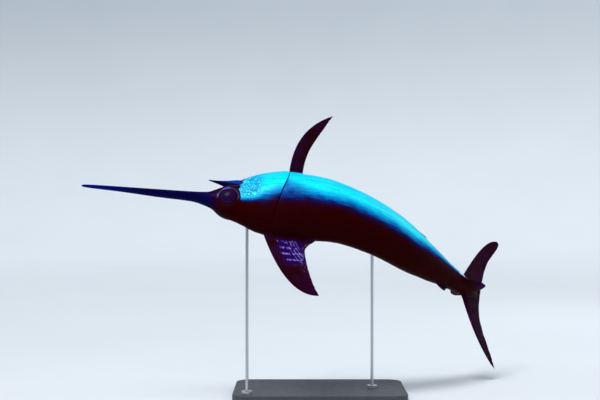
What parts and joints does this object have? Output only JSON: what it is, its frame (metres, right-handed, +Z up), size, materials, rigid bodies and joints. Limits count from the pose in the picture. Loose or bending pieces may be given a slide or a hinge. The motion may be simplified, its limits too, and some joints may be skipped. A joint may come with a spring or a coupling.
{
  "type": "swordfish model on a display stand",
  "caption": "Life-size swordfish, belly up, banked and bending its tail, with bill, open jaw, eyes, gill covers, rayed fins and keels, on a flat base with rods.",
  "frame": {"origin": "centre of the underside of the stand's base", "axes": "+Z up, out of the base; -X the way the bill points; +Y away from the viewer, to where the tail bends"},
  "size_m": [1.808, 1.0484, 1.1413],
  "materials": {
    "skin": "wet-looking painted skin, dark maroon-black back and pale cyan-silver belly",
    "bill": "satin dark horn-like bill",
    "fin": "satin maroon-purple rayed fin",
    "eye": "polished, large dark pupil",
    "stand_base": "matt charcoal",
    "stand_rod": "brushed"
  },
  "bodies": {
    "root": {"bill": "bill", "head": "skin", "lower_jaw": "skin", "eye_left": "eye", "eye_right": "eye", "gill_cover_left": "skin", "gill_cover_right": "skin", "trunk_front": "skin", "trunk_middle": "skin", "trunk_rear": "skin", "tail_stalk": "skin", "keel_left": "skin", "keel_right": "skin", "tail_lobe_dorsal": "fin", "tail_lobe_ventral": "fin", "dorsal_fin": "fin", "second_dorsal_fin": "fin", "anal_fin": "fin", "second_anal_fin": "fin", "pectoral_fin_left": "fin", "pectoral_fin_right": "fin", "stand_base": "stand_base", "stand_rod_front": "stand_rod", "stand_rod_rear": "stand_rod"}
  },
  "joints": []
}
